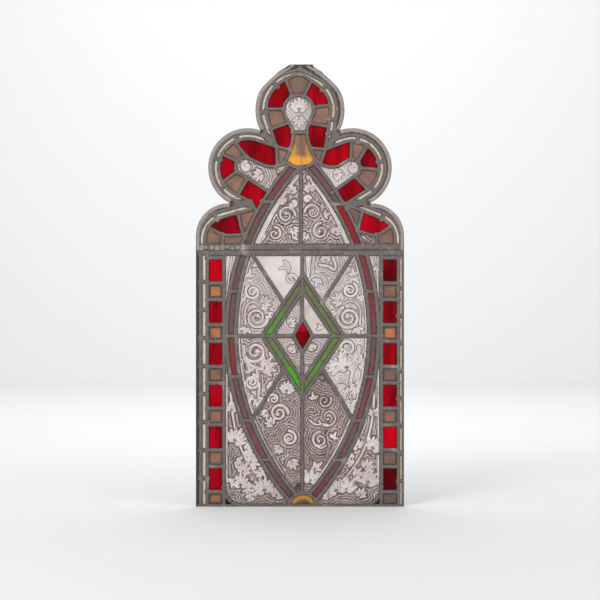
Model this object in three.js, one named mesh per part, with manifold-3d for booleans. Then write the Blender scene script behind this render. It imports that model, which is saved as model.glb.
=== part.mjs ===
/*
 * A leaded light with a trefoil head, made as two panels that stand one on the other.
 *
 * Each panel is a net of lead cames, soldered into one piece. A came has an H section: a face strip on
 * the front, a heart strip in the middle and a face strip on the back, and the glass sits in the two
 * channels beside the heart. So each net is drawn here as a list of came centre lines. Face strips and
 * heart strips follow the same lines at their own widths, and the glass is what the hearts leave open.
 *
 * Millimetres, +Z up, front towards -Y. The origin is the middle of the sill edge.
 */
import * as THREE from 'three';
import { mergeVertices } from 'three/addons/utils/BufferGeometryUtils.js';
import Module from 'manifold-3d';

const wasm = await Module();
wasm.setup();

// Lead and glass sections.
const LEAD_DEPTH = 8;
const FACE_THICKNESS = 1.5;
const HEART = 2;
const GLASS = 3;
const CEMENT_GAP = 0.3;
const COLLINEAR = 0.2;
const BUTT_REACH = 9;
const TUCK = 2.8;
const CAME = 7.5;
const WIDE_CAME = 9.5;
const BAND_CAME = 10;
const BORDER_CAME = 8.4;

// The whole light.
const HALF_WIDTH = 229;
const SEAM = 563.5;
const SEAM_GAP = 0.3;
const HEAD_FOOT = SEAM + SEAM_GAP / 2;
const LOWER_TOP = SEAM - SEAM_GAP / 2;
const APEX = 972.4;
const APEX_HALF_FLAT = 22;
const ARC_STEP = 20;
const OUTLINE_STEP = 15;

// The trefoil outline of the head: centre and radius of each arc on the +X side.
const TOP_LOBE = { centre: [0, 872], radius: 98 };
const TOP_HAUNCH = { centre: [34.5, 883.5], radius: 61.6 };
const TOP_CROWN = { centre: [-107.8, 755.3], radius: 253 };
const SIDE_LOBE = { centre: [115, 745], radius: 87 };
const SHOULDER = { centre: [157.5, 595], radius: 71.5 };

// The line of the cream fillets, which every border came of the head follows.
const FILLET_SIGHT = 5.6;
const PEAK = [0, 962];
const CUSPS = {
  rightUpper: [63.5, 795.5],
  rightLower: [114.5, 666.5],
  leftUpper: [-62, 802],
  leftLower: [-114.5, 666.5],
};
const CUSP_FALL = 8;
const CUSP_LEAD = { width: 19, outward: 14, inward: 3.5 };
const FILLET_RADII = { topRight: 74, topLeft: 81, sideRight: 65.5, sideLeft: 70.5, shoulder: 56 };
const SHOULDER_FILLET_CENTRE = [160, 588];

// The pointed oval that runs through both panels, and the centre leads.
const OVAL = { leftAxis: 3, rightAxis: 8, reach: 399.3, height: 381.7, inner: 543.4, outer: 564.3 };
const HEAD_CENTRE_LEAD = 2;
const LOWER_CENTRE_LEAD = 5;
const HEAD_SEAM_LEAD = 14.3;

// The lower panel's edges and borders.
const LEFT_EDGE_LEAD = 14.8;
const RIGHT_EDGE_LEAD = 4.4;
const SILL_LEAD = 4.4;
const LOWER_SEAM_LEAD = 12;
const BORDER_LEADS = { left: [-203.9, -167.6], right: [216.5, 179.3] };
const BORDER_MODULE = 91.9;
const BELOW_RUBY = 31.6;
const ABOVE_RUBY = 87.6;
const FILLET_JOINTS = { left: [61.4, 61.8], right: [55, 60.7] };

// The rhombus of green strips with the red diamond in its middle.
const RHOMBUS = { centre: [6, 375.5], halfWidth: 90, halfHeight: 135 };
const GREEN_SIGHT = 12.3;
const DIAMOND = { halfWidth: 21, halfHeight: 37 };
const HALF_ROUND = { centre: [6.8, -3.3], radius: 32.3 };
const CORNER_RADIUS = 37;

const radians = (degrees) => (degrees * Math.PI) / 180;

const polar = ([x, z], radius, degrees) => [
  x + radius * Math.cos(radians(degrees)),
  z + radius * Math.sin(radians(degrees)),
];

/** Points along an arc, both ends included, about `step` degrees apart. */
function arc({ centre, radius }, from, to, step = ARC_STEP) {
  const count = Math.max(1, Math.round(Math.abs(to - from) / step));
  const share = (i) => from + ((to - from) * i) / count;
  return Array.from({ length: count + 1 }, (_, i) => polar(centre, radius, share(i)));
}

/** The same points on the other side of the middle plane, in the opposite order. */
const mirrored = (points) => points.map(([x, z]) => [-x, z]).reverse();

/** A path moved sideways by `distance`, to the left of its travel, with mitred corners. */
function offset(path, distance, closed = false) {
  const last = path.length - 1;
  const unit = (a, b) => {
    const length = Math.hypot(b[0] - a[0], b[1] - a[1]);
    return [(b[0] - a[0]) / length, (b[1] - a[1]) / length];
  };
  return path.map((point, i) => {
    const before = i > 0 ? path[i - 1] : closed ? path[last] : null;
    const after = i < last ? path[i + 1] : closed ? path[0] : null;
    const a = before ? unit(before, point) : unit(point, after);
    const b = after ? unit(point, after) : a;
    const mitre = distance / Math.max(0.35, 1 + a[0] * b[0] + a[1] * b[1]);
    return [point[0] - (a[1] + b[1]) * mitre, point[1] + (a[0] + b[0]) * mitre];
  });
}

/** A closed prism between two depths, standing in the plane of the light. */
function prism(outline, front, back) {
  const shape = new THREE.Shape(outline.map(([x, z]) => new THREE.Vector2(x, z)));
  const extruded = new THREE.ExtrudeGeometry(shape, { depth: back - front, bevelEnabled: false });
  extruded.rotateX(Math.PI / 2);
  extruded.translate(0, back, 0);
  extruded.deleteAttribute('normal');
  extruded.deleteAttribute('uv');
  const merged = mergeVertices(extruded, 1e-4);
  return new wasm.Manifold(new wasm.Mesh({
    numProp: 3,
    vertProperties: new Float32Array(merged.attributes.position.array),
    triVerts: new Uint32Array(merged.index.array),
  }));
}

const union = (solids) => solids.reduce((all, solid) => all.add(solid));

const strip = (path, width, front, back) => prism(
  [...offset(path, -width / 2), ...offset(path, width / 2).reverse()],
  front,
  back,
);

/** Where the line through `inner` and `end` crosses the stretch from `a` to `b`, if it does. */
function crossing(inner, end, a, b) {
  const [ux, uz] = [end[0] - inner[0], end[1] - inner[1]];
  const [vx, vz] = [b[0] - a[0], b[1] - a[1]];
  const turn = ux * vz - uz * vx;
  if (Math.abs(turn) < 1e-6) return null;
  const [wx, wz] = [a[0] - inner[0], a[1] - inner[1]];
  const along = (wx * vz - wz * vx) / turn;
  const share = (wx * uz - wz * ux) / turn;
  return share >= 0 && share <= 1 ? [inner[0] + ux * along, inner[1] + uz * along] : null;
}

/** Cames whose open ends are trimmed or run on to the centre line that they meet. */
function butted(cames, others = []) {
  const paths = [...cames.map(({ path }) => path), ...others];
  const snapped = (inner, end, own) => {
    const hits = paths.filter((path) => path !== own)
      .flatMap((path) => path.slice(1).map((b, i) => crossing(inner, end, path[i], b)))
      .filter(Boolean)
      .map((hit) => ({ hit, gap: Math.hypot(hit[0] - end[0], hit[1] - end[1]) }))
      .sort((p, q) => p.gap - q.gap);
    return hits.length && hits[0].gap < BUTT_REACH ? hits[0].hit : end;
  };
  return cames.map((came) => {
    const { path } = came;
    const last = path.length - 1;
    const start = snapped(path[1], path[0], path);
    const finish = snapped(path[last - 1], path[last], path);
    return { ...came, path: [start, ...path.slice(1, last), finish] };
  });
}

/** The closed line of the fillets: tangents from cusp to cusp round the circle of each lobe. */
function filletLine() {
  const lobe = (from, centre, radius, to) => {
    const bearing = ([x, z]) => Math.atan2(z - centre[1], x - centre[0]) * (180 / Math.PI);
    const swing = ([x, z]) => Math.acos(radius / Math.hypot(x - centre[0], z - centre[1])) * (180 / Math.PI);
    const start = bearing(from) + swing(from);
    let end = bearing(to) - swing(to);
    while (end < start) end += 360;
    return arc({ centre, radius }, start, end);
  };
  const across = ([x, z]) => [-x, z];
  const foot = [SHOULDER_FILLET_CENTRE[0] + FILLET_RADII.shoulder, SEAM];
  const leftTurn = [CUSPS.leftLower[0], CUSPS.leftLower[1] - CUSP_FALL];
  const { rightLower, rightUpper, leftUpper, leftLower } = CUSPS;
  return [
    foot,
    ...lobe(foot, SHOULDER_FILLET_CENTRE, FILLET_RADII.shoulder, rightLower),
    rightLower,
    ...lobe(rightLower, SIDE_LOBE.centre, FILLET_RADII.sideRight, rightUpper),
    rightUpper,
    ...lobe(rightUpper, TOP_LOBE.centre, FILLET_RADII.topRight, PEAK),
    PEAK,
    ...lobe(PEAK, TOP_LOBE.centre, FILLET_RADII.topLeft, leftUpper),
    leftUpper,
    ...lobe(leftUpper, across(SIDE_LOBE.centre), FILLET_RADII.sideLeft, leftLower),
    leftLower,
    leftTurn,
    ...lobe(leftTurn, across(SHOULDER_FILLET_CENTRE), FILLET_RADII.shoulder, across(foot)),
    across(foot),
  ];
}

/** The head's outline: its arcs meet at the notches between the lobes. */
function headOutline() {
  const half = [
    [HALF_WIDTH, HEAD_FOOT],
    ...arc(SHOULDER, 0, 92, OUTLINE_STEP),
    ...arc(SIDE_LOBE, -62.8, 108.6, OUTLINE_STEP),
    ...arc(TOP_LOBE, -27, 18, OUTLINE_STEP),
    ...arc(TOP_HAUNCH, 18, 42, OUTLINE_STEP).slice(1),
    ...arc(TOP_CROWN, 42, 59.1, OUTLINE_STEP / 2).slice(1),
    [APEX_HALF_FLAT, APEX],
  ];
  return [...half, ...mirrored(half)];
}

/** One side of the oval, between two heights. `side` is -1 on the left and 1 on the right. */
function ovalArc(side, radius, low, high, step = 6.5) {
  const angle = (z) => Math.asin((z - OVAL.height) / radius) * (180 / Math.PI);
  const right = arc({ centre: [-OVAL.reach, OVAL.height], radius }, angle(low), angle(high), step);
  return right.map(([x, z]) => [(side < 0 ? OVAL.leftAxis : OVAL.rightAxis) + side * x, z]);
}

/** A short lead across the oval's band at one height. */
function bandJoint(side, height, width = WIDE_CAME) {
  const [inner] = ovalArc(side, OVAL.inner, height, height);
  const [outer] = ovalArc(side, OVAL.outer, height, height);
  return { path: [inner, outer], width };
}

/** Centre lines of every came inside the head's borders. `border` is the inner border came's line. */
function headCames(border) {
  const corner = ([x, z]) => border.reduce((near, point) => (
    Math.hypot(point[0] - x, point[1] - z) < Math.hypot(near[0] - x, near[1] - z) ? point : near
  ));
  const onion = { centre: [-3, 872], radius: 33 };
  const bellFoot = { centre: [1, 790], radius: 45 };
  const leftRing = { centre: [-121.5, 748], radius: 20.5 };
  const rightRing = { centre: [113, 744], radius: 20 };
  const leftBorder = { centre: [-115, 745], radius: 63.5 };
  const ovalTop = 745;
  const lines = [
    [[HEAD_CENTRE_LEAD, SEAM + 2], [HEAD_CENTRE_LEAD, ovalTop]],
    [[-33, 757], [-21.5, 784], [-15, 811], [-17, 831], ...arc(onion, -142, -398, 26), [15, 829], [16, 811],
      [25, 784], [35, 761]],
    arc(bellFoot, -139, -38, 25),
    // Spokes of the top lobe.
    [[-32, 941], [-17, 902]],
    [[27, 940], [9, 904]],
    [[-76, 874.5], [-34, 874.5]],
    [[70, 884], [28, 879]],
    [[-68, 829], [-22, 845.5]],
    [[66, 835], [18, 844]],
    [corner(CUSPS.leftUpper), [-19, 784]],
    [corner(CUSPS.rightUpper), [20, 789]],
    // The left lobe: the waved lead round the painted piece, then its spokes.
    [[-29, 757], [-49, 748.5], [-69, 747], [-88, 754.5], ...arc(leftRing, 52, 215, 33), [-66, 690]],
    [polar(leftBorder.centre, leftBorder.radius, 116), [-117.5, 768]],
    [polar(leftBorder.centre, leftBorder.radius, 152), [-139, 760]],
    [polar(leftBorder.centre, leftBorder.radius, -150), [-139, 737]],
    [polar(leftBorder.centre, leftBorder.radius, -110), [-115, 722]],
    [corner(CUSPS.leftUpper), [-50, 749]],
    // The right lobe.
    [[31, 762], [48, 752], [66, 746], [86, 749.5], ...arc(rightRing, 112, -75, 32), [70, 690]],
    [[114, 804], [112, 764]],
    [[148, 793], [127, 757]],
    [[172, 741], [132, 745]],
    [[152, 694], [125, 722]],
    [corner(CUSPS.rightUpper), [45, 753]],
    // The shoulders.
    [[-118, 599], [-165.5, 595.5], [-186, 606], [-208, 618]],
    [[-170.5, 595.5], [-170.5, SEAM + 2]],
    [[-136, 643], [-129, 610], [-121, 592]],
    [[202, 618], [169, 594.7], [149, 599.5], [124, 608]],
    [[168, 594.7], [168, SEAM + 2]],
    [[137, 646], [127, 607]],
    [corner(CUSPS.leftLower), [-96, 649]],
    [corner(CUSPS.rightLower), [104, 655]],
  ].map((path) => ({ path, width: CAME }));
  const oval = [-1, 1].flatMap((side) => [
    { path: ovalArc(side, OVAL.inner, SEAM + 2, ovalTop), width: CAME },
    { path: ovalArc(side, OVAL.outer, SEAM + 2, 753), width: CAME },
  ]);
  return [
    ...lines,
    ...oval,
    { path: [[-15, 823], [15, 823]], width: WIDE_CAME },
    bandJoint(-1, 670),
    bandJoint(1, 665),
    { path: [-HALF_WIDTH, HALF_WIDTH].map((x) => [x, SEAM + HEAD_SEAM_LEAD / 2]),
      width: HEAD_SEAM_LEAD, heart: HEAD_SEAM_LEAD - 2 * TUCK },
  ];
}

/** Short leads between the fillets of the head, given by their place on the fillet line. */
function headFilletJoints() {
  const across = (centre, radius, degrees) => [-8, 8].map((d) => polar(centre, radius + d, degrees));
  const { centre: side } = SIDE_LOBE;
  const left = [-side[0], side[1]];
  return [
    across(TOP_LOBE.centre, FILLET_RADII.topLeft, 134),
    across(TOP_LOBE.centre, FILLET_RADII.topLeft, 183),
    across(TOP_LOBE.centre, FILLET_RADII.topRight, 43),
    across(TOP_LOBE.centre, FILLET_RADII.topRight, -16),
    [[76, 823], [57, 820]],
    across(left, FILLET_RADII.sideLeft, 110),
    across(left, FILLET_RADII.sideLeft, 163),
    across(left, FILLET_RADII.sideLeft, 218),
    across(side, FILLET_RADII.sideRight, 79),
    across(side, FILLET_RADII.sideRight, 12),
    across(side, FILLET_RADII.sideRight, -46),
    across([-SHOULDER_FILLET_CENTRE[0], SHOULDER_FILLET_CENTRE[1]], FILLET_RADII.shoulder, 118),
    across(SHOULDER_FILLET_CENTRE, FILLET_RADII.shoulder, 66),
    [[0, PEAK[1] - 12], [0, PEAK[1] + 8]],
  ].map((path) => ({ path, width: WIDE_CAME }));
}

/** The broad soldered patches where the borders of two lobes meet at a cusp. */
function cuspLeads() {
  const [upper, lower] = [[87.3, 827.5], [154.7, 667.5]];
  return Object.entries(CUSPS).map(([name, [x, z]]) => {
    const notch = name.endsWith('Upper') ? upper : lower;
    const run = [Math.sign(x) * notch[0] - x, notch[1] - z];
    const length = Math.hypot(...run);
    const along = (distance) => [x + (run[0] * distance) / length, z + (run[1] * distance) / length];
    return { path: [along(-CUSP_LEAD.inward), along(CUSP_LEAD.outward)], width: CUSP_LEAD.width,
      heart: CUSP_LEAD.width - 2 * TUCK };
  });
}

const LOWER_OUTLINE = [
  [-HALF_WIDTH, 0],
  [HALF_WIDTH, 0],
  [HALF_WIDTH, LOWER_TOP],
  [-HALF_WIDTH, LOWER_TOP],
];

/** Centre lines of every came of the lower panel. */
function lowerCames() {
  const { centre: [x, z], halfWidth, halfHeight } = RHOMBUS;
  const corners = (w, h) => [[x, z + h], [x - w, z], [x, z - h], [x + w, z]];
  const ring = (points) => points.map((point, i) => [point, points[(i + 1) % points.length]]);
  const shrink = 1 - ((GREEN_SIGHT + CAME) * Math.hypot(halfWidth, halfHeight)) / (halfWidth * halfHeight);
  const rhombus = [
    ...ring(corners(halfWidth, halfHeight)),
    ...ring(corners(halfWidth * shrink, halfHeight * shrink)),
    ...ring(corners(DIAMOND.halfWidth, DIAMOND.halfHeight)),
  ];
  const lines = [
    [[LOWER_CENTRE_LEAD, LOWER_TOP - 2], [LOWER_CENTRE_LEAD, z + DIAMOND.halfHeight]],
    [[LOWER_CENTRE_LEAD, z - DIAMOND.halfHeight], [LOWER_CENTRE_LEAD, HALF_ROUND.radius - 2]],
    [[BORDER_LEADS.left[1], z - 1], [x - DIAMOND.halfWidth, z - 1]],
    [[x + DIAMOND.halfWidth, z - 1], [BORDER_LEADS.right[1], z - 1]],
    [[-107, 557.6], [-36, 448]],
    [[119, 557.7], [50, 449.5]],
    [[-34.5, 303], [-106, 189]],
    [[48.5, 305], [116, 191]],
    arc(HALF_ROUND, 3, 177, 22),
    arc({ centre: [-130, 40], radius: CORNER_RADIUS }, 176, 270, 24),
    arc({ centre: [142, 40], radius: CORNER_RADIUS }, 4, -90, 24),
    ...rhombus,
  ].map((path) => ({ path, width: CAME }));
  const oval = [-1, 1].flatMap((side) => [
    { path: ovalArc(side, OVAL.inner, 26, LOWER_TOP - 2), width: BAND_CAME },
    { path: ovalArc(side, OVAL.outer, 12, LOWER_TOP - 2), width: BAND_CAME },
    ...[102, 188, 285, 473].map((height) => bandJoint(side, height)),
  ]);
  const borders = Object.values(BORDER_LEADS).flatMap(([outer, inner]) => [
    { path: [[outer, 2], [outer, LOWER_TOP - 2]], width: CAME },
    { path: [[inner, 2], [inner, LOWER_TOP - 2]], width: BORDER_CAME },
    ...Array.from({ length: 6 }, (_, i) => [BELOW_RUBY, ABOVE_RUBY].map((first) => ({
      path: [[outer, first + BORDER_MODULE * i], [inner, first + BORDER_MODULE * i]],
      width: WIDE_CAME,
    }))).flat(),
  ]);
  const joints = Object.entries(FILLET_JOINTS).flatMap(([side, [first, module]]) => (
    Array.from({ length: 8 }, (_, i) => {
      const sign = side === 'left' ? -1 : 1;
      const height = first + module * i;
      const edge = sign * (HALF_WIDTH - 1);
      return { path: [[edge, height], [BORDER_LEADS[side][0], height]], width: WIDE_CAME };
    })
  ));
  return [...lines, ...oval, ...borders, ...joints];
}

const HALF_DEPTH = LEAD_DEPTH / 2;
const FACES = [[-HALF_DEPTH, FACE_THICKNESS - HALF_DEPTH], [HALF_DEPTH - FACE_THICKNESS, HALF_DEPTH]];
// Hearts run a little way into the face strips, so that the three layers join as one solid.
const HEART_DEPTH = [FACE_THICKNESS / 2 - HALF_DEPTH, HALF_DEPTH - FACE_THICKNESS / 2];
const THROUGH = [-2 * HALF_DEPTH, 2 * HALF_DEPTH];

// A layer of a net: how far its strips stand back from the face edge, and its depths.
const layer = (setBack, [front, back]) => ({ setBack, front, back });
const HEART_LAYER = layer(TUCK, HEART_DEPTH);
const PANE_LAYER = layer(TUCK - CEMENT_GAP, THROUGH);

/** The strips of a list of cames in one layer, joined. A wide patch has its own heart. */
const strips = (cames, { setBack, front, back }) => union(cames.map(({ path, width, heart = HEART }) => (
  strip(path, setBack > 0 ? heart + 2 * (TUCK - setBack) : width, front, back)
)));

function headNet(net) {
  const line = filletLine();
  const { setBack, front, back } = net;
  const within = (distance) => prism(offset(line, distance, true), ...THROUGH);
  const half = FILLET_SIGHT / 2;
  const edge = prism(headOutline(), front, back).subtract(within(-half - setBack));
  const inner = prism(offset(line, half + setBack, true), front, back)
    .subtract(within(half + CAME - setBack));
  const above = [[-300, HEAD_FOOT], [300, HEAD_FOOT], [300, 1100], [-300, 1100]];
  const border = offset(line, half + CAME / 2, true);
  const met = butted(headCames(border), [[...border, border[0]]]);
  const cames = [...met, ...headFilletJoints(), ...cuspLeads()];
  return union([edge, inner, strips(cames, net)])
    .intersect(prism(above, ...THROUGH))
    .intersect(prism(headOutline(), ...THROUGH))
    .asOriginal().simplify(COLLINEAR);
}

function lowerNet(net) {
  const { setBack, front, back } = net;
  const thin = setBack * 0.7;
  const [left, right] = [LEFT_EDGE_LEAD - HALF_WIDTH - setBack, HALF_WIDTH - RIGHT_EDGE_LEAD + thin];
  const [foot, head] = [SILL_LEAD - thin, LOWER_TOP - LOWER_SEAM_LEAD + setBack];
  const opening = prism([[left, foot], [right, foot], [right, head], [left, head]], ...THROUGH);
  return prism(LOWER_OUTLINE, front, back)
    .subtract(opening)
    .add(strips(butted(lowerCames()), net))
    .intersect(prism(LOWER_OUTLINE, ...THROUGH))
    .asOriginal().simplify(COLLINEAR);
}

/**
 * One soldered net: the same plan drawn at face width, front and back, and at heart width between.
 * A pocket closed in all round would be full of solder, so only the outer shell is kept.
 */
const soldered = (net) => union([...FACES.map((depths) => net(layer(0, depths))), net(HEART_LAYER)])
  .asOriginal().simplify(COLLINEAR)
  .decompose()
  .sort((a, b) => b.volume() - a.volume())[0];

/** The panes that a panel's hearts leave open, as separate solids with a gap all round. */
const panes = (outline, net) => prism(outline, -GLASS / 2, GLASS / 2)
  .subtract(net(PANE_LAYER).asOriginal().simplify(COLLINEAR))
  .decompose();

function geometryOf(solid) {
  const mesh = solid.getMesh();
  const geometry = new THREE.BufferGeometry();
  geometry.setAttribute('position', new THREE.BufferAttribute(mesh.vertProperties, 3));
  geometry.setIndex(new THREE.BufferAttribute(mesh.triVerts, 1));
  geometry.computeVertexNormals();
  return geometry;
}

const light = new THREE.Group();

function place(name, solid, colour, roughness, metalness, opacity = 1) {
  const material = new THREE.MeshStandardMaterial({ color: colour, roughness, metalness });
  material.opacity = opacity;
  material.transparent = opacity < 1;
  const mesh = new THREE.Mesh(geometryOf(solid), material);
  mesh.name = name;
  light.add(mesh);
}

const RUBY = 0xa80a22;
const UMBER = 0x8a6355;
const CLEAR = 0xe6e2dc;
const PAINTED = 0xb3a198;
const PLUM = 0x7a4450;
const GREEN = 0x5d8a34;
const GOLD = 0xdd9a4a;

// Each pane is known by a point that lies inside it.
const HEAD_GLASS = [
  ['top_lobe_crown_umber', [2, 925], UMBER],
  ['top_lobe_ruby_upper_left', [-45, 905], RUBY],
  ['top_lobe_ruby_upper_right', [42, 903], RUBY],
  ['top_lobe_umber_left', [-52, 858], UMBER],
  ['top_lobe_umber_right', [46, 862], UMBER],
  ['top_lobe_ruby_lower_left', [-38, 812], RUBY],
  ['top_lobe_ruby_lower_right', [35, 815], RUBY],
  ['top_lobe_umber_foot_left', [-46, 773], UMBER],
  ['top_lobe_umber_foot_right', [46, 776], UMBER],
  ['top_lobe_painted_bud', [0, 870], PAINTED],
  ['yellow_bell', [2, 780], GOLD],
  ['left_lobe_ruby_top', [-95, 780], RUBY],
  ['left_lobe_umber_top', [-146, 777], UMBER],
  ['left_lobe_ruby_side', [-160, 748], RUBY],
  ['left_lobe_umber_side', [-143, 712], UMBER],
  ['left_lobe_ruby_foot', [-104, 700], RUBY],
  ['left_lobe_painted_leaf', [-90, 732], CLEAR],
  ['right_lobe_ruby_top', [88, 770], RUBY],
  ['right_lobe_umber_top', [124, 785], UMBER],
  ['right_lobe_ruby_side', [152, 762], RUBY],
  ['right_lobe_umber_side', [152, 722], UMBER],
  ['right_lobe_ruby_foot', [114, 700], RUBY],
  ['right_lobe_painted_leaf', [90, 730], CLEAR],
  ['left_shoulder_ruby', [-155, 618], RUBY],
  ['right_shoulder_ruby', [160, 618], RUBY],
  ['left_shoulder_umber', [-190, 590], UMBER],
  ['right_shoulder_umber', [188, 590], UMBER],
  ['head_painted_left', [-40, 620], PAINTED],
  ['head_painted_right', [40, 620], PAINTED],
  ['head_band_left_lower', [-110, 610], PLUM],
  ['head_band_left_upper', [-58, 698], PLUM],
  ['head_band_right_lower', [115, 610], PLUM],
  ['head_band_right_upper', [60, 698], PLUM],
];

const LOWER_GLASS = [
  ['lower_painted_top_left', [-40, 520], CLEAR],
  ['lower_painted_top_right', [50, 520], PAINTED],
  ['side_painted_upper_left', [-100, 440], PAINTED],
  ['side_painted_upper_right', [110, 440], PAINTED],
  ['side_painted_lower_left', [-100, 300], PAINTED],
  ['side_painted_lower_right', [110, 300], PAINTED],
  ['green_strip_upper_left', [-32, 432], GREEN],
  ['green_strip_upper_right', [44, 432], GREEN],
  ['green_strip_lower_left', [-32, 318], GREEN],
  ['green_strip_lower_right', [44, 318], GREEN],
  ['inner_painted_upper_left', [-22, 400], PAINTED],
  ['inner_painted_upper_right', [34, 400], CLEAR],
  ['inner_painted_lower_left', [-22, 350], PAINTED],
  ['inner_painted_lower_right', [34, 350], PAINTED],
  ['red_diamond', [6, 376], RUBY],
  ['lower_painted_foot_left', [-30, 180], PAINTED],
  ['lower_painted_foot_right', [40, 180], PAINTED],
  ['spandrel_upper_left', [-158, 540], CLEAR],
  ['spandrel_upper_right', [168, 540], CLEAR],
  ['spandrel_lower_left', [-130, 80], PAINTED],
  ['spandrel_lower_right', [140, 80], PAINTED],
  ['corner_ruby_left', [-158, 10], RUBY],
  ['corner_ruby_right', [170, 10], RUBY],
  ['yellow_half_round', [6, 12], GOLD],
];

/** True where a pane's plan holds the point, by counting the front edges to its right. */
function holds(pane, [x, z]) {
  const { vertProperties: at, triVerts } = pane.getMesh();
  const corner = (i) => [at[3 * i], at[3 * i + 1], at[3 * i + 2]];
  for (let t = 0; t < triVerts.length; t += 3) {
    const [a, b, c] = [0, 1, 2].map((k) => corner(triVerts[t + k]));
    const front = [a, b, c].every((p) => p[1] < 0);
    const side = (p, q) => (q[0] - p[0]) * (z - p[2]) - (q[2] - p[2]) * (x - p[0]);
    const turns = [side(a, b), side(b, c), side(c, a)];
    if (front && (turns.every((s) => s >= 0) || turns.every((s) => s <= 0))) return true;
  }
  return false;
}


place('head_leading', soldered(headNet), 0x6f6c66, 0.6, 0.7);
place('lower_leading', soldered(lowerNet), 0x6f6c66, 0.6, 0.7);
for (const [outline, net, list] of [
  [headOutline(), headNet, HEAD_GLASS],
  [LOWER_OUTLINE, lowerNet, LOWER_GLASS],
]) {
  const all = panes(outline, net);
  for (const [name, point, colour] of list) {
    place(name, all.find((pane) => holds(pane, point)), colour, 0.15, 0, 0.6);
  }
}

export default light;
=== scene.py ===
# %% [markdown]
# # A leaded light with a trefoil head
#
# The window is two panels of coloured and painted glass, held in strips of lead. A strip is
# called a came: its section is an H, and the glass sits in the two channels. Where cames meet
# they are soldered, so each panel's leading is one net. The packed model gives the size of both
# nets and the place of the larger panes. Here the same setting-out is drawn again with fine
# curves, so that the lead gets its domed section and the glass its true edges.

import math
import random

import bpy
import numpy as np
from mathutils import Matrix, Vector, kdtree


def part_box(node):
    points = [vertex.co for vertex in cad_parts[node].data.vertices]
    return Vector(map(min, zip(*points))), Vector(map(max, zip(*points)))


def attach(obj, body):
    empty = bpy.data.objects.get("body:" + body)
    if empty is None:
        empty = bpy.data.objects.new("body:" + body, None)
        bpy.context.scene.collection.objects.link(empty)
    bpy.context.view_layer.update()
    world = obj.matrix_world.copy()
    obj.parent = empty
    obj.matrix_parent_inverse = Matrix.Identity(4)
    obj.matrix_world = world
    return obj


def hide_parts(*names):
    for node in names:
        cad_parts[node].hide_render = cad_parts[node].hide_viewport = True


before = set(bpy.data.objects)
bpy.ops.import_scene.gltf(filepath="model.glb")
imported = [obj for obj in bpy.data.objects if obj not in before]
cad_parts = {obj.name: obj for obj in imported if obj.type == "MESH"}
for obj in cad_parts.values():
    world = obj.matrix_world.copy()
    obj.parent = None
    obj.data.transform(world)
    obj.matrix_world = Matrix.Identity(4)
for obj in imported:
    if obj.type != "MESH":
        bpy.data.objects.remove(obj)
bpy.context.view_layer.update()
scene = bpy.context.scene
MM = 0.001
rng = random.Random(11)
print("frame:", len(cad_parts), "nodes")

# %% [markdown]
# Every dimension below is in millimetres, in the plane of the light: x to the right, z up from
# the sill. A lobe is a centre and a radius, and a came is a centre line and a width. Nothing else
# is needed to set out a leaded light: that is also how the full-size drawing on a glazier's bench
# works.

# %% The sizes of the light
CAME = 7.5
WIDE_CAME = 9.5
BAND_CAME = 10.0
BORDER_CAME = 8.4
HALF_WIDTH = 229.0
SEAM = 563.5
HEAD_FOOT = SEAM + 0.15
LOWER_TOP = SEAM - 0.15
APEX = 972.38
TOP_LOBE = ((0.0, 872.0), 98.0)
TOP_HAUNCH = ((34.5, 883.5), 61.6)
TOP_CROWN = ((-107.8, 755.3), 253.0)
SIDE_LOBE = ((115.0, 745.0), 87.0)
SHOULDER = ((157.5, 595.0), 71.5)
FILLET = 5.6
PEAK = (0.0, 962.0)
CUSPS = {"ru": (63.5, 795.5), "rl": (114.5, 666.5), "lu": (-62.0, 802.0), "ll": (-114.5, 666.5)}
NOTCHES = {"ru": (87.3, 827.5), "rl": (154.7, 667.5), "lu": (-87.3, 827.5), "ll": (-154.7, 667.5)}
TUCK = 2.5
print("light:", 2 * HALF_WIDTH, "by", APEX, "mm, seam at", SEAM)

# %% [markdown]
# A handful of plane-geometry helpers do the setting-out: a point at an angle, an arc, the mirror
# image of a line, a line moved sideways, and a loose hand-drawn curve. Blender's own curve tools
# could offset a line too, but a mitred offset worked out here keeps the corners exactly where two
# cames meet.

# %% Helpers for setting out
def polar(centre, radius, degrees):
    turn = math.radians(degrees)
    return (centre[0] + radius * math.cos(turn), centre[1] + radius * math.sin(turn))


def arc(centre, radius, start, end, step=5.0):
    count = max(1, round(abs(end - start) / step))
    return [polar(centre, radius, start + (end - start) * i / count) for i in range(count + 1)]


def mirrored(points):
    return [(-x, z) for x, z in points][::-1]


def offset(path, distance, closed=False):
    """The path moved sideways, to the left of its travel, with mitred corners."""
    p = np.array(path)
    before = np.roll(p, 1, 0) if closed else np.vstack([2 * p[0] - p[1], p[:-1]])
    after = np.roll(p, -1, 0) if closed else np.vstack([p[1:], 2 * p[-1] - p[-2]])
    a = (p - before) / np.linalg.norm(p - before, axis=1)[:, None]
    b = (after - p) / np.linalg.norm(after - p, axis=1)[:, None]
    mitre = distance / np.maximum(0.35, 1 + (a * b).sum(1))[:, None]
    s = a + b
    return [tuple(q) for q in p + np.stack([-s[:, 1], s[:, 0]], 1) * mitre]


def smooth(points, rounds=2):
    """A loose hand-drawn line through the points, its corners cut twice."""
    for _ in range(rounds):
        cut = [points[0]]
        for a, b in zip(points, points[1:]):
            cut.append((a[0] * 0.75 + b[0] * 0.25, a[1] * 0.75 + b[1] * 0.25))
            cut.append((a[0] * 0.25 + b[0] * 0.75, a[1] * 0.25 + b[1] * 0.75))
        points = cut + [points[-1]]
    return points


print("a quarter of the left lobe:", len(arc((0, 0), SIDE_LOBE[1], 90, 180)), "points")

# %% [markdown]
# The border of the head is set out from the line of its cream fillets: that line runs from cusp
# to cusp, straight off each cusp and then round the circle of the lobe. The outline is simpler,
# because its arcs just meet in the notches between the lobes.

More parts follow.
